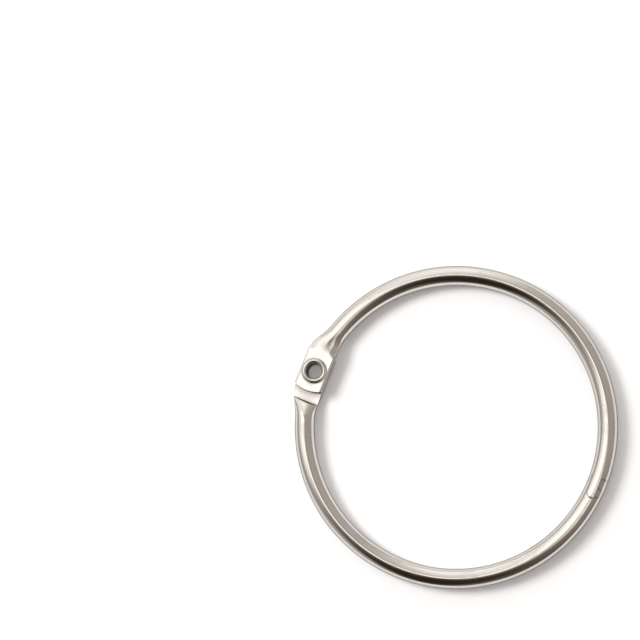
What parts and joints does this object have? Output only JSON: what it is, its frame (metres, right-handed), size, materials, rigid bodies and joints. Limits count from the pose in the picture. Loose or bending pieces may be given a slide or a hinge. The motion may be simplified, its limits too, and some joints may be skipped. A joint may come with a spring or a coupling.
{
  "type": "binder ring",
  "caption": "Hinged loose-leaf ring: half rings of rolled tube turn on a hollow rivet and close with a hooked tongue in a fork, to hold punched sheets.",
  "frame": {"origin": "centre of the closed ring, on its middle plane, half way between the two flat sides", "axes": "+Z along the rivet's axis, out of the side where the tongue half's tab is on top; the rivet is on -X, the latch on +X, the tongue half on +Y"},
  "size_m": [0.0578, 0.057, 0.0042],
  "materials": {
    "nickel_plate": "polished nickel plate on steel"
  },
  "bodies": {
    "fork_side": {"fork_half": "nickel_plate", "hinge_rivet": "nickel_plate"},
    "tongue_side": {"tongue_half": "nickel_plate"}
  },
  "joints": [
    {"name": "rivet_hinge", "type": "hinge", "parent": "fork_side", "child": "tongue_side", "pos_m": [-0.02675, 0, 0], "axis": [0, 0, 1], "range_deg": [0, 138]}
  ]
}
